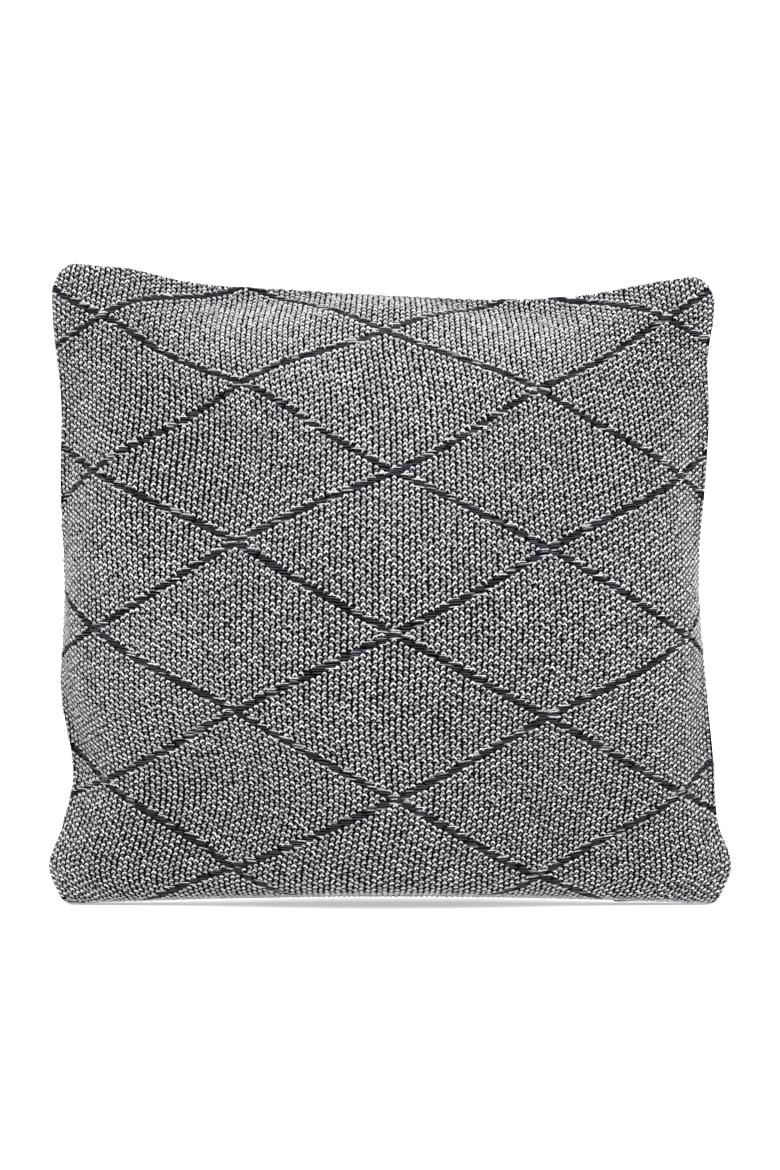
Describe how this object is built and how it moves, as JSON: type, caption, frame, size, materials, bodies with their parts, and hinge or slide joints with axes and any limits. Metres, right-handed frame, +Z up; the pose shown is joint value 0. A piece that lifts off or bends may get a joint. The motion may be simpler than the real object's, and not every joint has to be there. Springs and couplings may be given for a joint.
{
  "type": "throw pillow",
  "caption": "Square knitted throw pillow with a moss-stitch diamond-lattice cover, hidden bottom zip and fibre-filled insert, standing on its bottom edge.",
  "frame": {"origin": "on the surface that the pillow stands on, under the middle of its box", "axes": "+Z up, front panel faces -Y, width along X"},
  "size_m": [0.4462, 0.1418, 0.422],
  "materials": {
    "knit": "two-colour moss-stitch knit, light grey and charcoal yarn, with charcoal diamond lines",
    "overlock_thread": "overlocked seam allowance, charcoal thread",
    "zip_tape": "woven polyester tape, charcoal",
    "zip_coil": "nylon monofilament coil",
    "zip_metal": "die-cast zinc, charcoal lacquer",
    "zip_stop": "crimped metal stops",
    "stitching": "spun polyester sewing thread",
    "label": "blank woven satin label",
    "casing": "white woven cotton casing",
    "casing_thread": "white sewing thread",
    "fill": "white polyester fibre filling"
  },
  "bodies": {
    "pillow": {"cover_front": "knit", "cover_back": "knit", "cover_seam_top": "overlock_thread", "cover_seam_left": "overlock_thread", "cover_seam_right": "overlock_thread", "zipper_tape_front": "zip_tape", "zipper_tape_back": "zip_tape", "zipper_coil_front": "zip_coil", "zipper_coil_back": "zip_coil", "zipper_top_stops": "zip_stop", "zipper_bottom_stop": "zip_stop", "zipper_stitching_front": "stitching", "zipper_stitching_back": "stitching", "zipper_bar_tacks": "stitching", "care_label": "label", "insert_label": "label", "insert_casing_front": "casing", "insert_casing_back": "casing", "insert_edge_seam": "casing_thread", "insert_closing_seam": "casing_thread", "fibre_fill": "fill"},
    "slider": {"zipper_slider": "zip_metal"},
    "pull": {"zipper_pull": "zip_metal"}
  },
  "joints": [
    {"name": "zip_run", "type": "slide", "parent": "pillow", "child": "slider", "axis": [1, 0, 0], "range_m": [-0.32, 0], "deforming": ["zipper_coil_front", "zipper_coil_back"]},
    {"name": "pull_swing", "type": "hinge", "parent": "slider", "child": "pull", "pos_m": [0.1665, 0, 0.003], "axis": [0, -1, 0], "range_deg": [0, 150]}
  ]
}
